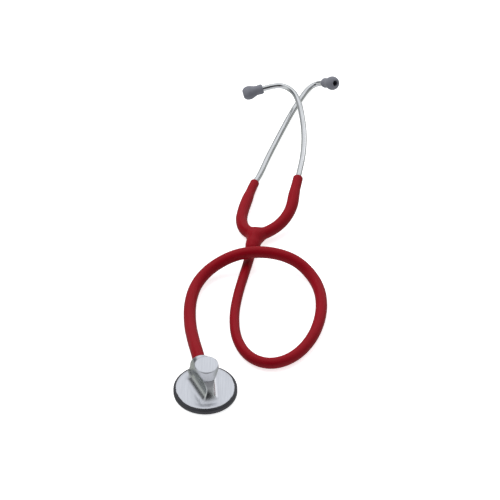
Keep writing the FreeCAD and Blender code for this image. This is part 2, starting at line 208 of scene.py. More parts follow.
def rim_rubber():
    k = Nodes("rim_rubber")
    v = k.coords()
    cloud = k.noise(v, 120.0, 3.0, 0.5)
    fine = k.noise(v, 2200.0, 2.0, 0.6)
    col = k.ramp(cloud, [(0.3, (0.030, 0.030, 0.036)), (0.7, (0.045, 0.045, 0.053))])
    return k.set(Base_Color=col, Roughness=k.maprange(fine, 0.3, 0.7, 0.42, 0.56),
                 Normal=k.bump(fine, 0.15, 0.00006), IOR=1.48)


def polished_tube():
    k = Nodes("polished_ear_tube")
    v = k.coords()
    fine = k.noise(k.coords(scale=(1, 0.12, 1)), 1500.0, 2.0, 0.6)
    cloud = k.noise(v, 90.0, 3.0, 0.5)
    col = k.ramp(cloud, [(0.3, (0.66, 0.67, 0.67)), (0.7, (0.74, 0.75, 0.76))])
    return k.set(Base_Color=col, Metallic=1.0, Roughness=k.maprange(cloud, 0.3, 0.7, 0.13, 0.2),
                 Normal=k.bump(fine, 0.05, 0.00003))


def steel(name, low, high, tint, streaks, soften, shade=None):
    """Steel with a finish between two roughnesses, drawn along the piece, with softened edges."""
    k = Nodes(name)
    v = k.coords(scale=(1, 0.035, 1), rotation=(0, 0, -TURN))
    streak = k.noise(v, 1100.0, 3.0, 0.6)
    cloud = k.noise(k.coords(), 90.0, 3.0, 0.5)
    dark = tuple(c * (1.0 - 0.16 * streaks) for c in tint)
    col = k.mix(k.maprange(streak, 0.3, 0.7, 0.0, 1.0), dark, tint)
    if shade:
        # painted shade: the colour darkens to 0.3 of the tint as height rises between two heights, standing in for
        # shade and dark reflections
        sep = k.n("ShaderNodeSeparateXYZ")
        k.t.links.new(k.coords(), sep.inputs[0])
        painted_shade = tuple(c * 0.30 for c in tint)
        col = k.mix(k.maprange(sep.outputs[2], shade[0], shade[1], 0.0, 1.0), col, painted_shade)
    rough = k.math("ADD", k.maprange(streak, 0.3, 0.7, low, high), k.maprange(cloud, 0.3, 0.7, -0.02, 0.02))
    bev = k.n("ShaderNodeBevel")
    bev.samples = 6
    bev.inputs["Radius"].default_value = soften
    nrm = k.bump(streak, 0.10 * streaks, 0.00005, bev.outputs[0])
    return k.set(Base_Color=col, Metallic=1.0, Roughness=rough, Normal=nrm)


def head_steel():
    """The chestpiece's steel: brushed knob and wings, polished flanks, a satin flare with painted shade under the knob,
    standing in for shade and dark reflections there. Two painted weights on the mesh say which is where."""
    k = Nodes("chestpiece_steel")
    flank = k.n("ShaderNodeAttribute", attribute_name="flank").outputs["Fac"]
    painted_shade = k.n("ShaderNodeAttribute", attribute_name="painted_shade").outputs["Fac"]
    v = k.coords(scale=(1, 0.035, 1), rotation=(0, 0, -TURN))
    streak = k.noise(v, 1100.0, 3.0, 0.6)
    cloud = k.noise(k.coords(), 90.0, 3.0, 0.5)
    brushed = k.mix(k.maprange(streak, 0.3, 0.7, 0.0, 1.0), (0.60, 0.615, 0.655), (0.72, 0.735, 0.775))
    polished = k.mix(k.maprange(cloud, 0.3, 0.7, 0.0, 1.0), (0.61, 0.63, 0.62), (0.65, 0.67, 0.66))
    col = k.mix(flank, brushed, polished)
    # painted shade: where its weight is high the colour goes to a dark grey, standing in for shade and dark reflections
    # under the knob
    col = k.mix(painted_shade, col, (0.19, 0.19, 0.205))
    rough = k.math("ADD", k.maprange(flank, 0.0, 1.0, 0.34, 0.25), k.maprange(streak, 0.3, 0.7, -0.04, 0.04))
    bev = k.n("ShaderNodeBevel")
    bev.samples = 6
    bev.inputs["Radius"].default_value = 0.0004
    nrm = k.bump(streak, 0.08, 0.00005, bev.outputs[0])
    return k.set(Base_Color=col, Metallic=1.0, Roughness=rough, Normal=nrm)


def plain(name, col, rough, metallic=0.0):
    k = Nodes(name)
    v = k.coords()
    a = k.noise(v, 200.0, 3.0, 0.5)
    b = k.noise(v, 1500.0, 2.0, 0.5)
    c = k.mix(k.maprange(a, 0.3, 0.7, 0.0, 1.0), tuple(x * 0.85 for x in col), col)
    return k.set(Base_Color=c, Roughness=k.maprange(b, 0.3, 0.7, rough - 0.05, rough + 0.05), Metallic=metallic,
                 Normal=k.bump(b, 0.08, 0.00006))


RED = red_pvc()
GREY = grey_silicone()
RIM = rim_rubber()
EAR_METAL = polished_tube()
BRUSHED = steel("brushed_steel", 0.30, 0.42, (0.70, 0.715, 0.755), 1.0, 0.0009)
POLISHED = steel("polished_steel_flanks", 0.24, 0.30, (0.66, 0.68, 0.67), 0.2, 0.0004)
# the flare's steel with painted shade: darker higher up, between 8.5 and 16.5 mm
SATIN = steel("satin_steel_flare_painted_shade", 0.30, 0.38, (0.68, 0.685, 0.70), 0.7, 0.0006, (0.0085, 0.0165))
STEEL = BRUSHED
SPRING = plain("spring_steel", (0.42, 0.43, 0.45), 0.35, 1.0)
DISC = plain("diaphragm_sheet", (0.62, 0.63, 0.60), 0.28)
HARD = plain("hard_plastic", (0.22, 0.23, 0.25), 0.4)


def paint(node, mat):
    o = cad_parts[node]
    o.data.materials.clear()
    o.data.materials.append(mat)


# ---------------------------------------------------------------- tubing
ROUTE = [
    (35.9, 161.6, 5.8), (33.1, 147.3, 5.1), (29.0, 129.0, 4.9), (24.2, 107.1, 4.9), (20.9, 81.9, 4.9),
    (22.7, 55.9, 4.9), (32.6, 34.7, 4.9), (49.8, 26.2, 4.9), (68.7, 34.1, 4.9), (83.3, 54.3, 4.9),
    (91.1, 79.8, 4.9), (92.0, 105.1, 4.9), (86.1, 126.1, 5.5), (71.5, 139.2, 12.5), (49.5, 144.5, 16.5),
    (24.8, 143.1, 16.1), (3.8, 135.5, 9.0), (-9.4, 119.9, 4.9), (-14.6, 97.3, 4.9), (-14.3, 72.4, 5.3),
    (-10.9, 49.5, 8.6),
]
# the tube is drawn out a little thinner towards the fork
ROUTE_R = [4.3, 4.1, 4.05, 4.0, 4.0, 4.1, 4.3, 4.5, 4.6, 4.65, 4.7, 4.75, 4.8, 4.85, 4.85, 4.85, 4.9, 4.9, 4.95, 5.0, 5.05, 5.05, 5.05]


def nurbs(name, points, radii, order=3, bevel=0.001, res_u=10, res_v=12, fill=False):
    cu = bpy.data.curves.new(name, "CURVE")
    cu.dimensions = "3D"
    sp = cu.splines.new("NURBS")
    sp.points.add(len(points) - 1)
    for p, (q, r) in zip(sp.points, zip(points, radii)):
        p.co = (*q, 1.0)
        p.radius = r
    sp.order_u = order
    sp.use_endpoint_u = True
    sp.resolution_u = res_u
    cu.bevel_depth = bevel
    cu.bevel_resolution = res_v
    cu.use_fill_caps = fill
    o = bpy.data.objects.new(name, cu)
    bpy.context.scene.collection.objects.link(o)
    return o


tube_points = [at(x, y, z if z > 5.6 else max(r + 0.12, z - 0.9)) for (x, y, z), r in zip(ROUTE, ROUTE_R)]
tube_points += [chest(0.0, 31.6, 13.0), chest(-0.8, 21.6, 13.0)]
tube = nurbs("tubing_soft", tube_points, ROUTE_R, order=3, res_u=10, res_v=14)
tube.data.materials.append(RED)
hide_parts("tubing")
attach(tube, "base")

# ---------------------------------------------------------------- yoke (fork)
FORK = (38.9, 174.0, 6.3)
LEFT = [FORK, (35.6, 176.6, 6.2), (29.0, 182.9, 5.8), (26.5, 194.4, 5.3), (28.0, 206.0, 5.0), (30.5, 216.7, 4.9), (33.4, 227.6, 4.9), (36.5, 237.9, 4.9), (38.3, 243.2, 4.9)]
RIGHT = [FORK, (43.4, 175.6, 6.8), (52.0, 179.5, 8.1), (59.7, 185.7, 9.8), (65.7, 194.6, 11.6), (69.5, 205.4, 13.2), (71.0, 217.6, 14.8), (73.5, 229.5, 16.1), (74.7, 235.8, 16.7)]
LEFT_TUBE = [(42.5, 252.5, 4.9), (48.3, 272.2, 4.8), (55.2, 292.4, 4.8), (62.2, 312.4, 4.7), (69.4, 332.6, 4.7), (77.6, 352.4, 4.4), (86.5, 372.5, 3.4), (96.2, 376.0, 5.7), (103.5, 366.5, 13.0)]
RIGHT_TUBE = [(76.1, 244.0, 17.1), (78.8, 259.7, 17.8), (80.3, 276.9, 18.3), (80.5, 294.1, 18.5), (79.4, 312.3, 18.3), (77.4, 330.0, 18.2), (73.1, 348.0, 17.8), (62.8, 358.3, 17.5), (51.6, 355.8, 17.7), (38.7, 353.2, 14.9)]


def bspline(points, samples, degree=2):
    """Points along a clamped uniform B-spline, in numpy."""
    P = np.array(points, float)
    n = len(P)
    k = degree
    t = np.concatenate([np.zeros(k), np.arange(n - k + 1), np.full(k, n - k)]).astype(float)
    out = np.zeros((samples, P.shape[1]))
    for j, u in enumerate(np.linspace(0, n - k, samples)):
        i = min(int(u), n - k - 1) + k
        d = [P[m + i - k].copy() for m in range(k + 1)]
        for r in range(1, k + 1):
            for m in range(k, r - 1, -1):
                den = t[m + 1 + i - r] - t[m + i - k]
                a = (u - t[m + i - k]) / den
                d[m] = (1 - a) * d[m - 1] + a * d[m]
        out[j] = d[k]
    return out


class Limb:
    """A round limb along a smooth line, its radius given along its length."""

    def __init__(self, pts, prof, samples=110):
        self.c = bspline(pts, samples)
        seg = np.linalg.norm(np.diff(self.c, axis=0), axis=1)
        self.s = np.concatenate([[0], np.cumsum(seg)])
        self.L = self.s[-1]
        a, b = zip(*prof)
        a = [x if x >= 0 else self.L + x for x in a]
        self.r = np.interp(self.s, a, b)
        k = np.ones(9) / 9
        self.r = np.convolve(np.pad(self.r, 4, mode="edge"), k, mode="valid")
        self.end = self.c[-1]
        self.dir = self.c[-1] - self.c[-4]
        self.dir /= np.linalg.norm(self.dir)

    def sdf(self, p, cut=True):
        best = np.full(len(p), 1e9)
        A, B = self.c[:-1], self.c[1:]
        for i in range(0, len(A)):
            ab = B[i] - A[i]
            t = np.clip(((p - A[i]) @ ab) / (ab @ ab), 0, 1)
            d = np.linalg.norm(p - (A[i] + t[:, None] * ab), axis=1) - (self.r[i] + t * (self.r[i + 1] - self.r[i]))
            np.minimum(best, d, out=best)
        if cut:
            plane = (p - self.end) @ self.dir
            best = smax(best, plane, 1.1)
        return best


def smin(a, b, k):
    h = np.clip(0.5 + 0.5 * (b - a) / k, 0, 1)
    return b + (a - b) * h - k * h * (1 - h)


def smax(a, b, k):
    return -smin(-a, -b, k)


left_limb = Limb(LEFT, [(0, 5.3), (14, 4.95), (24, 4.85), (34, 4.85), (44, 4.88), (-21, 4.75), (-17.2, 4.3), (-15.2, 4.02), (-6, 3.9), (0 - 1e-6, 3.85)])
right_limb = Limb(RIGHT, [(0, 5.3), (14, 4.95), (28, 4.85), (38, 4.85), (-28, 5.0), (-20, 4.85), (-16.2, 4.62), (-14.4, 4.34), (-6, 4.24), (0 - 1e-6, 4.2)])
stem_limb = Limb([(39.3, 175.6, 6.5), FORK, (37.6, 168.8, 6.5), ROUTE[0], (34.9, 156.5, 5.5)], [(0, 5.4), (4, 6.2), (12, 6.3), (16, 5.6), (-3, 4.6), (0 - 1e-6, 4.3)], 120)


def fork_sdf(p):
    a = smin(left_limb.sdf(p), right_limb.sdf(p), 4.5)
    s = stem_limb.sdf(p, cut=False)
    plane = (p - stem_limb.end) @ stem_limb.dir
    s = np.maximum(s, plane)
    # moulded flat where it lies on the table
    return smax(smin(a, s, 4.0), 0.2 - p[:, 2], 0.8)


def gradient(f, p, h=0.02):
    g = np.zeros_like(p)
    f0 = f(p)
    for i in range(3):
        e = np.zeros(3)
        e[i] = h
        g[:, i] = (f(p + e) - f0) / h
    return g / np.maximum(np.linalg.norm(g, axis=1)[:, None], 1e-9)


def remeshed(name, objs, voxel):
    """One closed mesh round several, at a voxel size in metres."""
    bm = bmesh.new()
    for o in objs:
        m2 = bpy.data.meshes.new_from_object(o.evaluated_get(bpy.context.evaluated_depsgraph_get()))
        bm.from_mesh(m2)
        bpy.data.meshes.remove(m2)
    me = bpy.data.meshes.new(name)
    bm.to_mesh(me)
    bm.free()
    o = new_object(name, me)
    mod = o.modifiers.new("r", "REMESH")
    mod.mode = "VOXEL"
    mod.voxel_size = voxel
    bpy.context.view_layer.update()
    out = bpy.data.meshes.new_from_object(o.evaluated_get(bpy.context.evaluated_depsgraph_get()))
    bpy.data.objects.remove(o)
    bpy.data.meshes.remove(me)
    for q in objs:
        d = q.data
        bpy.data.objects.remove(q)
    return out


def limb_tube(name, limb, extra=0.0):
    pts = [at(*c) for c in limb.c[::4]] + [at(*limb.c[-1])]
    rr = list(limb.r[::4]) + [limb.r[-1]]
    cu = bpy.data.curves.new(name, "CURVE")
    cu.dimensions = "3D"
    sp = cu.splines.new("POLY")
    sp.points.add(len(pts) - 1)
    for p, q, r in zip(sp.points, pts, rr):
        p.co = (*q, 1.0)
        p.radius = r + extra
    cu.bevel_depth = 0.001
    cu.bevel_resolution = 6
    cu.use_fill_caps = True
    o = bpy.data.objects.new(name, cu)
    bpy.context.scene.collection.objects.link(o)
    return o


bpy.context.view_layer.update()
base = remeshed("fork_base", [limb_tube("a", left_limb), limb_tube("b", right_limb), limb_tube("c", stem_limb)], 0.0006)
co = np.zeros(len(base.vertices) * 3)
base.vertices.foreach_get("co", co)
P = co.reshape(-1, 3) * 1000.0 + np.array([CX, CY, 0.0])
for step in range(7):
    d = fork_sdf(P)
    g = gradient(fork_sdf, P)
    P = P - g * np.clip(d, -1.2, 1.2)[:, None]
    if step < 4:
        # even the spacing out along the surface
        e = np.zeros(len(base.edges) * 2, int)
        base.edges.foreach_get("vertices", e)
        e = e.reshape(-1, 2)
        acc = np.zeros_like(P)
        cnt = np.zeros(len(P))
        np.add.at(acc, e[:, 0], P[e[:, 1]])
        np.add.at(acc, e[:, 1], P[e[:, 0]])
        np.add.at(cnt, e[:, 0], 1)
        np.add.at(cnt, e[:, 1], 1)
        m = acc / np.maximum(cnt, 1)[:, None] - P
        m -= g * (m * g).sum(1)[:, None]
        P = P + 0.5 * m
base.vertices.foreach_set("co", ((P - np.array([CX, CY, 0.0])) / 1000.0).ravel())
base.update()


def part_of(name, keep_planes, seed):
    """The piece of the fork on the inner side of each plane, nearest to seed, closed."""
    bm = bmesh.new()
    bm.from_mesh(base)
    for pt, nrm in keep_planes:
        geom = bm.verts[:] + bm.edges[:] + bm.faces[:]
        bmesh.ops.bisect_plane(bm, geom=geom, plane_co=at(*pt), plane_no=Vector(nrm), clear_inner=True, clear_outer=False, dist=1e-7)
    bm.verts.ensure_lookup_table()
    target = at(*seed)
    first = min(bm.verts, key=lambda v: (v.co - target).length)
    seen, todo = {first}, [first]
    while todo:
        v = todo.pop()
        for e in v.link_edges:
            w = e.other_vert(v)
            if w not in seen:
                seen.add(w)
                todo.append(w)
    bmesh.ops.delete(bm, geom=[v for v in bm.verts if v not in seen], context="VERTS")
    edges = [e for e in bm.edges if e.is_boundary]
    bmesh.ops.holes_fill(bm, edges=edges, sides=0)
    bmesh.ops.recalc_face_normals(bm, faces=bm.faces[:])
    me = bpy.data.meshes.new(name)
    bm.to_mesh(me)
    bm.free()
    o = new_object(name, me)
    smooth(o)
    n = len(me.vertices)
    c = np.zeros(n * 3)
    me.vertices.foreach_get("co", c)
    q = c.reshape(-1, 3) * 1000.0 + np.array([CX, CY, 0.0])
    nr = gradient(fork_sdf, q, 0.05)
    # caps keep their own flat normals
    loop_v = np.zeros(len(me.loops), int)
    me.loops.foreach_get("vertex_index", loop_v)
    ln = nr[loop_v]
    for f in me.polygons:
        if len(f.vertices) > 4:
            ln[f.loop_start:f.loop_start + f.loop_total] = np.array(f.normal)
    me.normals_split_custom_set([tuple(v) for v in ln])
    me.materials.append(RED)
    return o


def limb_plane(limb, s):
    i = int(np.searchsorted(limb.s, s))
    t = limb.c[i + 2] - limb.c[i - 2]
    t /= np.linalg.norm(t)
    return limb.c[i], t


lp, lt = limb_plane(left_limb, 9.5)
rp, rt = limb_plane(right_limb, 9.5)
left_arm = part_of("left_yoke_arm_soft", [(lp, lt)], left_limb.end)
right_arm = part_of("right_yoke_arm_soft", [(rp, rt)], right_limb.end)
# the stem keeps what both arms leave: cut off beyond each root plane, one side at a time
def stem_piece():
    bm = bmesh.new()
    bm.from_mesh(base)
    for (pt, nrm), other in (((lp, lt), (rp, rt)), ((rp, rt), (lp, lt))):
        # only faces near this root are cut
        near = [f for f in bm.faces if (f.calc_center_median() - at(*pt)).length < 0.012]
        geom = list({v for f in near for v in f.verts}) + list({e for f in near for e in f.edges}) + near
        bmesh.ops.bisect_plane(bm, geom=geom, plane_co=at(*pt), plane_no=Vector(nrm), clear_inner=False, clear_outer=False, dist=1e-7)
        cut = [e for e in bm.edges if all(abs((v.co - at(*pt)).dot(Vector(nrm))) < 2e-7 and (v.co - at(*pt)).length < 0.009 for v in e.verts)]
        bmesh.ops.split_edges(bm, edges=cut)
    target = at(*stem_limb.end)
    bm.verts.ensure_lookup_table()
    first = min(bm.verts, key=lambda v: (v.co - target).length)
    seen, todo = {first}, [first]
    while todo:
        v = todo.pop()
        for e in v.link_edges:
            w = e.other_vert(v)
            if w not in seen:
                seen.add(w)
                todo.append(w)
    bmesh.ops.delete(bm, geom=[v for v in bm.verts if v not in seen], context="VERTS")
    bmesh.ops.holes_fill(bm, edges=[e for e in bm.edges if e.is_boundary], sides=0)
    bmesh.ops.recalc_face_normals(bm, faces=bm.faces[:])
    me = bpy.data.meshes.new("yoke_stem_soft")
    bm.to_mesh(me)
    bm.free()
    o = new_object("yoke_stem_soft", me)
    smooth(o)
    c = np.zeros(len(me.vertices) * 3)
    me.vertices.foreach_get("co", c)
    q = c.reshape(-1, 3) * 1000.0 + np.array([CX, CY, 0.0])
    nr = gradient(fork_sdf, q, 0.05)
    loop_v = np.zeros(len(me.loops), int)
    me.loops.foreach_get("vertex_index", loop_v)
    ln = nr[loop_v]
    for f in me.polygons:
        if len(f.vertices) > 4:
            ln[f.loop_start:f.loop_start + f.loop_total] = np.array(f.normal)
    me.normals_split_custom_set([tuple(v) for v in ln])
    me.materials.append(RED)
    return o


stem_o = stem_piece()
print("fork pieces", len(left_arm.data.polygons), len(right_arm.data.polygons), len(stem_o.data.polygons))
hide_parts("yoke_stem")
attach(stem_o, "base")
for o, word, limb in ((left_arm, "left", left_limb), (right_arm, "right", right_limb)):
    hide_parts(word + "_yoke_arm")
    i0 = int(np.searchsorted(limb.s, 9.8))
    i1 = int(np.searchsorted(limb.s, 33.0))
    a, b = limb.c[i0], limb.c[i1]
    tuple(at(*a))
    tuple(at(*b))
    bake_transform(o)

# the leaf spring inside the fork: one strip along each arm, following its curve
def spring_strip(word, limb):
    rows = []
    n0, n1 = 2, int(len(limb.c) * 0.72)
    for i in range(n0, n1):
        t = limb.c[min(i + 1, len(limb.c) - 1)] - limb.c[i - 1]
        t /= np.linalg.norm(t)
        side = np.cross(t, (0.0, 0.0, 1.0))
        side /= np.linalg.norm(side)
        up = np.cross(side, t)
        rows.append([at(*(limb.c[i] + side * a + up * b)) for a, b in ((-0.25, -2.2), (0.25, -2.2), (0.25, 2.2), (-0.25, 2.2))])
    verts = [v for r in rows for v in r]
    faces = [(0, 1, 2, 3), tuple((len(rows) - 1) * 4 + k for k in range(4))]
    for j in range(len(rows) - 1):
        for k in range(4):
            m = (k + 1) % 4
            faces.append((j * 4 + k, j * 4 + m, (j + 1) * 4 + m, (j + 1) * 4 + k))
    o = mesh_of(word + "_leaf_spring_half", verts, faces)
    bm = bmesh.new()
    bm.from_mesh(o.data)
    bmesh.ops.recalc_face_normals(bm, faces=bm.faces[:])
    bm.to_mesh(o.data)
    bm.free()
    o.data.materials.append(SPRING)
    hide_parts("leaf_spring")
    a, b = limb.c[int(np.searchsorted(limb.s, 9.8))], limb.c[int(np.searchsorted(limb.s, 33.0))]
    tuple(at(*a))
    tuple(at(*b))
    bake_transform(o)


spring_strip("left", left_limb)
spring_strip("right", right_limb)

# ---------------------------------------------------------------- ear tubes
def tube_mesh(name, points, radii, order=4, res_u=14, res_v=10, mat=None):
    o = nurbs(name + "_line", points, radii, order=order, res_u=res_u, res_v=res_v, fill=True)
    bpy.context.view_layer.update()
    me = bpy.data.meshes.new_from_object(o.evaluated_get(bpy.context.evaluated_depsgraph_get()))
    bpy.data.objects.remove(o)
    q = new_object(name, me)
    smooth(q, 40)
    if mat:
        me.materials.clear()
        me.materials.append(mat)
    return q


def lerp(a, b, t):
    return tuple(a[i] + (b[i] - a[i]) * t for i in range(3))


left_line = [lerp(LEFT[-1], LEFT[-2], 1.0), LEFT[-1]] + LEFT_TUBE
right_line = [lerp(RIGHT[-1], RIGHT[-2], 1.0), RIGHT[-1]] + RIGHT_TUBE
ear_ends = {}
for word, line in (("left", left_line), ("right", right_line)):
    e, p = Vector(line[-1]), Vector(line[-2])
    d = (e - p).normalized()
    ear_ends[word] = (e, d)
    pts = [at(*q) for q in line]
    o = tube_mesh(word + "_ear_tube_bright", pts, [2.4] * len(pts), order=3, res_u=16, mat=EAR_METAL)
    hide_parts(word + "_ear_tube")
    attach(o, word + "_arm")

# ---------------------------------------------------------------- ear tips
TIP = [(0.3, 2.6), (0.02, 2.9), (0.0, 3.5), (0.2, 3.95), (0.8, 4.18), (1.8, 4.24), (3.0, 4.14), (4.4, 4.0), (5.6, 4.02), (6.8, 4.3), (8.2, 4.85), (9.6, 5.36), (11.0, 5.74),
       (12.3, 5.88), (13.7, 5.76), (15.0, 5.34), (16.0, 4.72), (16.8, 3.95), (17.25, 3.3), (17.4, 2.85), (17.3, 2.52), (16.9, 2.42), (13.0, 2.38), (8.2, 2.35), (7.9, 2.1), (7.85, 0.0)]


def lathe(name, prof, origin, direction, mat, steps=64):
    """A turned piece: prof holds (height, radius) pairs, turned about direction."""
    d = Vector(direction).normalized()
    q = d.to_track_quat("Z", "Y")
    verts, faces = [], []
    for z, r in prof:
        if r < 1e-6:
            verts.append((0, 0, z))
            continue
        for i in range(steps):
            a = 2 * math.pi * i / steps
            verts.append((r * math.cos(a), r * math.sin(a), z))
    idx, rows = 0, []
    for z, r in prof:
        if r < 1e-6:
            rows.append([idx])
            idx += 1
        else:
            rows.append(list(range(idx, idx + steps)))
            idx += steps
    for a, b in zip(rows[:-1], rows[1:]):
        for i in range(steps):
            j = (i + 1) % steps
            if len(a) == 1:
                faces.append((a[0], b[j], b[i]))
            elif len(b) == 1:
                faces.append((a[i], a[j], b[0]))
            else:
                faces.append((a[i], a[j], b[j], b[i]))
    if len(rows[0]) > 1:
        pass
    o0 = at(*origin)
    world = [o0 + (q @ Vector(v)) / 1000.0 for v in verts]
    o = mesh_of(name, world, faces)
    bm = bmesh.new()
    bm.from_mesh(o.data)
    bmesh.ops.recalc_face_normals(bm, faces=bm.faces[:])
    bm.to_mesh(o.data)
    bm.free()
    smooth(o)
    if mat:
        o.data.materials.append(mat)
    return o


for word in ("left", "right"):
    e, d = ear_ends[word]
    origin = e - d * 7.0
    o = lathe(word + "_ear_tip_soft", [(z * 1.05, r * (1.05 if z > 0.5 and r > 2.7 else 1.0)) for z, r in TIP], origin, d, GREY)
    sub = o.modifiers.new("s", "SUBSURF")
    sub.levels = sub.render_levels = 1
    bpy.context.view_layer.update()
    me = bpy.data.meshes.new_from_object(o.evaluated_get(bpy.context.evaluated_depsgraph_get()))
    o.modifiers.clear()
    o.data = me
    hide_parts(word + "_ear_tip")
    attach(o, word + "_tip")

# ---------------------------------------------------------------- chestpiece
def settle(w):
    """Where the head stands over its foot: metres, in place."""
    t = np.clip((w[:, 2] * 1000.0 - 5.6) / 7.5, 0, 1)
    w[:, 0] -= 0.0009 + 0.0012 * (1 - t * t * (3 - 2 * t))
    w[:, 1] += 0.0015
    return w


def settled(node, name, mat, body):
    """A copy of a node's mesh, its foot drawn a little to the left of the head."""
    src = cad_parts[node]
    me = bpy.data.meshes.new_from_object(src)
    m = src.matrix_world
    n = len(me.vertices)
    c = np.zeros(n * 3)
    me.vertices.foreach_get("co", c)
    w = settle(np.array([tuple(m @ Vector(v)) for v in c.reshape(-1, 3)]))
    me.vertices.foreach_set("co", w.ravel())
    me.update()
    me.materials.clear()
    me.materials.append(mat)
    o = new_object(name, me)
    smooth(o, 24)
    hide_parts(node)
    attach(o, body)
    return o


def line_distance(u, v, pts):
    """Distance in a plane from (u, v) to a broken line, and which side of it the point is on."""
    best = np.full(u.shape, 1e9)
    side = np.ones(u.shape)
    P = np.array(pts, float)
    for a, b in zip(P[:-1], P[1:]):
        d = b - a
        L = float(d @ d)
        t = np.clip(((u - a[0]) * d[0] + (v - a[1]) * d[1]) / L, 0, 1)
        du, dv = u - a[0] - d[0] * t, v - a[1] - d[1] * t
        q = du * du + dv * dv
        cr = d[0] * (v - a[1]) - d[1] * (u - a[0])
        # at a shared corner the segment the point stands off more squarely decides
        score = q - 1e-7 * np.abs(cr) / math.sqrt(L)
        m = score < best
        best = np.where(m, score, best)
        side = np.where(m, np.sign(cr), side)
    return np.sqrt(np.maximum(best, 0.0)) * side


TURNED = [(0.0, 4.4), (19.4, 2.5), (20.6, 2.05), (20.6, 4.7), (23.3, 4.7), (23.4, 4.95), (23.1, 5.2), (21.6, 5.62)]
TURNED += [(20.3 - 11.6 * math.sin(a), 20.8 - 15.0 * math.cos(a)) for a in np.linspace(0.03, math.pi / 2, 26)]
TURNED += [(9.0, 20.95), (9.35, 21.1), (9.5, 21.5), (9.5, 29.4)]
TURNED += [(8.4 + 1.1 * math.cos(a), 29.6 + 1.1 * math.sin(a)) for a in np.linspace(0.15, math.pi / 2, 8)] + [(0.0, 30.7)]
W, RL, RH, ZW, ZF = 4.9, 6.6, 26.0, 12.6, 6.0
SCOOP = [(60.0, ZF - 1.9), (23.5, ZF - 0.75), (W + RL + 1.0, ZF - 0.02)]
SCOOP += [(W + RL - RL * math.sin(a), ZF + RL - RL * math.cos(a)) for a in np.linspace(0.0, math.pi / 2, 18)]
SCOOP += [(W + RH - RH * math.cos(a), ZW + RH * math.sin(a)) for a in np.linspace(0.03, 0.98, 16)] + [(W + 18.0, 48.0)]


def smax(a, b, k):
    h = np.clip(0.5 - 0.5 * (a - b) / k, 0, 1)
    return a * (1 - h) + b * h + k * h * (1 - h)


def head_sdf(p):
    x, y, z = p[:, 0], p[:, 1], p[:, 2]
    r = np.hypot(x, y)
    # the profile runs up the outside, so the inside is on its left
    f = -line_distance(r, z, TURNED)
    zz = np.clip(z, 2.0, 13.0)
    boss = np.hypot(x, z - zz) - 8.2
    boss = smax(boss, np.maximum(y - 20.3, -y), 0.5)
    boss = np.maximum(boss, 4.9 - z)
    f = smin(f, boss, 1.6)
    for side in (-1.0, 1.0):
        a = math.radians(11.5) * side
        dx, dy = x - side * W, y
        u = side * (side * W + dx * math.cos(a) - dy * math.sin(a))
        f = smax(f, -line_distance(u, z, SCOOP), 0.8)
    return f


def surface_net(sdf, lo, hi, h):
    """Quads along the zero surface of a distance field, one corner in every cell it crosses."""
    ax = [np.arange(a, b + h, h) for a, b in zip(lo, hi)]
    G = np.stack(np.meshgrid(*ax, indexing="ij"), -1)
    shape = G.shape[:3]
    flat = G.reshape(-1, 3)
    inside = np.concatenate([sdf(flat[i:i + 200000]) for i in range(0, len(flat), 200000)]).reshape(shape) < 0
    total = sum(inside[i:shape[0] - 1 + i, j:shape[1] - 1 + j, k:shape[2] - 1 + k].astype(int) for i in (0, 1) for j in (0, 1) for k in (0, 1))
    active = (total > 0) & (total < 8)
    idx = np.full(active.shape, -1)
    idx[active] = np.arange(active.sum())
    cells = np.argwhere(active)
    verts = np.stack([ax[d][cells[:, d]] + h / 2 for d in range(3)], -1)
    quads = []
    for d in range(3):
        e, g = (d + 1) % 3, (d + 2) % 3
        s0 = [slice(None)] * 3
        s1 = [slice(None)] * 3
        s0[d], s1[d] = slice(0, -1), slice(1, None)
        a, b = inside[tuple(s0)], inside[tuple(s1)]
        for flip, mask in ((False, a & ~b), (True, ~a & b)):
            at_ = np.argwhere(mask)
            at_ = at_[(at_[:, e] > 0) & (at_[:, g] > 0) & (at_[:, e] < active.shape[e]) & (at_[:, g] < active.shape[g])]
            ring = []
            for oe, og in ((-1, -1), (0, -1), (0, 0), (-1, 0)):
                c = at_.copy()
                c[:, e] += oe
                c[:, g] += og
                ring.append(idx[tuple(c.T)])
            q = np.stack(ring if not flip else ring[::-1], -1)
            quads.append(q)
    return verts, np.concatenate(quads)


def relax(sdf, P, quads, rounds=7, smooth_rounds=4, amount=0.45, eps=0.02):
    e = np.concatenate([quads[:, [0, 1]], quads[:, [1, 2]], quads[:, [2, 3]], quads[:, [3, 0]]])
    for step in range(rounds):
        d = sdf(P)
        g = gradient(sdf, P, eps)
        P = P - g * np.clip(d, -0.5, 0.5)[:, None]
        if step < smooth_rounds:
            acc = np.zeros_like(P)
            cnt = np.zeros(len(P))
            np.add.at(acc, e[:, 0], P[e[:, 1]])
            np.add.at(cnt, e[:, 0], 1)
            m = acc / np.maximum(cnt, 1)[:, None] - P
            m -= g * (m * g).sum(1)[:, None]
            P = P + amount * m
    return P


hv, hq = surface_net(head_sdf, (-24.5, -24.5, 1.3), (24.5, 24.5, 31.6), 0.42)
hv = relax(head_sdf, hv, hq)
hn = gradient(head_sdf, hv, 0.03)
hw = settle(np.array([tuple(chest(*p)) for p in hv]))
body = mesh_of("chestpiece_head", hw, [tuple(int(i) for i in q) for q in hq])
smooth(body)
cr, sr = math.cos(TURN), math.sin(TURN)
hn = np.stack([hn[:, 0] * cr - hn[:, 1] * sr, hn[:, 0] * sr + hn[:, 1] * cr, hn[:, 2]], -1)
body.data.normals_split_custom_set_from_vertices([tuple(v) for v in hn])
body.data.materials.append(head_steel())
ln = gradient(head_sdf, hv, 0.03)
hr = np.maximum(np.hypot(hv[:, 0], hv[:, 1]), 1e-6)
across = np.abs(-ln[:, 0] * hv[:, 1] + ln[:, 1] * hv[:, 0]) / hr


def ramp(v, a, b):
    t = np.clip((v - a) / (b - a), 0, 1)
    return t * t * (3 - 2 * t)


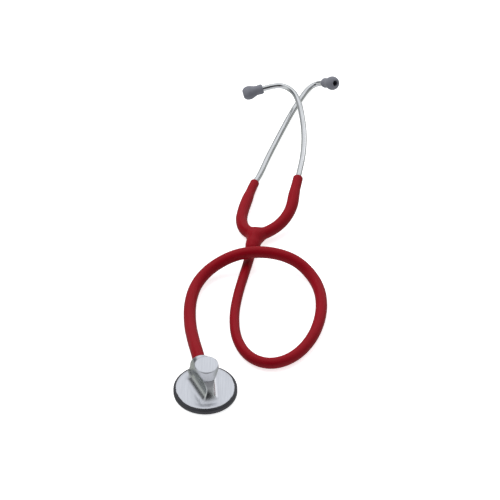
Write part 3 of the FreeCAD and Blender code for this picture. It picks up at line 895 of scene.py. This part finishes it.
low_part = 1 - ramp(hv[:, 2], 20.0, 21.0)
flank = ramp(1 - np.abs(ln[:, 2]), 0.02, 0.30) * low_part
# weight of the painted shade: higher up the front of the flare, under the knob and off the scoop walls, where shade and
# dark reflections fall
painted_shade = ramp(hv[:, 2], 8.5, 16.5) * low_part * (1 - ramp(across, 0.10, 0.30)) * ramp(-hv[:, 1], 0.0, 3.0) * 0.85
for word, weight in (("flank", flank), ("painted_shade", painted_shade)):
    att = body.data.attributes.new(word, "FLOAT", "POINT")
    att.data.foreach_set("value", weight.astype(np.float32))
body.data.update()
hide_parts("chestpiece_body")
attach(body, "base")
print("head", len(hv), "points")
rim = settled("non_chill_rim", "non_chill_rim_soft", RIM, "base")
ring = settled("suspension_ring", "suspension_ring_soft", RIM, "base")
disc = settled("diaphragm", "diaphragm_sheet", DISC, "diaphragm_disc")

for node, mat in (("chestpiece_stem", STEEL),
                  ("left_spring_clip", SPRING), ("right_spring_clip", SPRING), ("left_spring_rivet", SPRING), ("right_spring_rivet", SPRING),
                  ("left_tip_insert", HARD), ("right_tip_insert", HARD)):
    paint(node, mat)

# ---------------------------------------------------------------- stage
floor = mesh_of("floor", [(-6, -6, 0), (6, -6, 0), (6, 6, 0), (-6, 6, 0)], [(0, 1, 2, 3)])
fm = Nodes("floor_white")
fv = fm.coords()
fm.set(Base_Color=fm.ramp(fm.noise(fv, 3.0, 2.0, 0.5), [(0.3, 0.90), (0.7, 0.92)]), Roughness=0.9)
fm.set(Emission_Color=(1.0, 1.0, 1.0), Emission_Strength=0.72)
floor.data.materials.append(fm.m)
floor.visible_diffuse = False
floor.visible_glossy = False

world = bpy.data.worlds.new("studio")
bpy.context.scene.world = world
world.use_nodes = True
wt = world.node_tree
bg = wt.nodes["Background"]


class Sky:
    """A painted studio round the object: soft brightness by direction."""

    def __init__(self):
        tc = wt.nodes.new("ShaderNodeTexCoord")
        nm = wt.nodes.new("ShaderNodeVectorMath")
        nm.operation = "NORMALIZE"
        wt.links.new(tc.outputs["Generated"], nm.inputs[0])
        self.dir = nm.outputs[0]
        sep = wt.nodes.new("ShaderNodeSeparateXYZ")
        wt.links.new(self.dir, sep.inputs[0])
        self.x, self.y, self.z = sep.outputs

    def spot(self, azimuth, elevation, inner, outer):
        """1 inside a cone about a direction, falling to 0 at its outer angle."""
        a, e = math.radians(azimuth), math.radians(elevation)
        v = (math.cos(e) * math.sin(a), math.cos(e) * math.cos(a), math.sin(e))
        dt = wt.nodes.new("ShaderNodeVectorMath")
        dt.operation = "DOT_PRODUCT"
        wt.links.new(self.dir, dt.inputs[0])
        dt.inputs[1].default_value = v
        return self.range(dt.outputs["Value"], math.cos(math.radians(outer)), math.cos(math.radians(inner)))

    def range(self, sock, a, b, c=0.0, d=1.0):
        mr = wt.nodes.new("ShaderNodeMapRange")
        mr.interpolation_type = "SMOOTHSTEP"
        for k, val in zip(("From Min", "From Max", "To Min", "To Max"), (a, b, c, d)):
            mr.inputs[k].default_value = val
        wt.links.new(sock, mr.inputs["Value"])
        return mr.outputs["Result"]

    def mix(self, fac, a, b):
        m = wt.nodes.new("ShaderNodeMix")
        m.data_type = "RGBA"
        wt.links.new(fac, m.inputs[0])
        for sock, v in ((m.inputs[6], a), (m.inputs[7], b)):
            if hasattr(v, "is_output"):
                wt.links.new(v, sock)
            else:
                sock.default_value = (*v, 1.0)
        return m.outputs[2]


sky = Sky()
low = sky.mix(sky.range(sky.y, -0.45, 0.1), (0.80, 0.81, 0.84), (0.44, 0.46, 0.44))
c = sky.mix(sky.range(sky.z, -0.06, 0.08), low, (0.52, 0.53, 0.55))
# bright overhead and behind
c = sky.mix(sky.spot(-6, 56, 14, 48), c, (0.98, 1.0, 1.03))
c = sky.mix(sky.spot(-100, 20, 8, 34), c, (0.80, 0.82, 0.82))
c = sky.mix(sky.spot(40, 21, 6, 17), c, (1.5, 1.5, 1.55))
# dark where the room is unlit: round the viewer, and two gaps behind
c = sky.mix(sky.spot(180, 42, 20, 44), c, (0.035, 0.035, 0.04))
c = sky.mix(sky.spot(-66, 27, 6, 26), c, (0.05, 0.052, 0.06))
c = sky.mix(sky.spot(64, 15, 5, 13), c, (0.04, 0.04, 0.045))
wt.links.new(c, bg.inputs["Color"])
bg.inputs["Strength"].default_value = 1.0


def area(name, loc, target, size, power, shape="RECTANGLE", size_y=None):
    li = bpy.data.lights.new(name, "AREA")
    li.shape = shape
    li.size = size
    li.size_y = size_y or size
    li.energy = power
    o = bpy.data.objects.new(name, li)
    bpy.context.scene.collection.objects.link(o)
    o.location = loc
    o.rotation_euler = (Vector(target) - Vector(loc)).to_track_quat("-Z", "Y").to_euler()
    return o


key = area("key_soft", (-0.60, 0.70, 1.5), (0, 0, 0), 1.3, 15.5)
key.visible_glossy = False

cam = bpy.data.cameras.new("camera")
cam.sensor_width = 36.0
cam.sensor_fit = "HORIZONTAL"
cam.lens = 180.0
cam.clip_start = 0.05
cam.clip_end = 50
co_ = bpy.data.objects.new("camera", cam)
bpy.context.scene.collection.objects.link(co_)
co_.location = (-0.010265, -1.5270, 1.4126)
co_.rotation_euler = (math.radians(47.0), 0, 0)
bpy.context.scene.camera = co_
bpy.context.scene.view_settings.view_transform = "Standard"
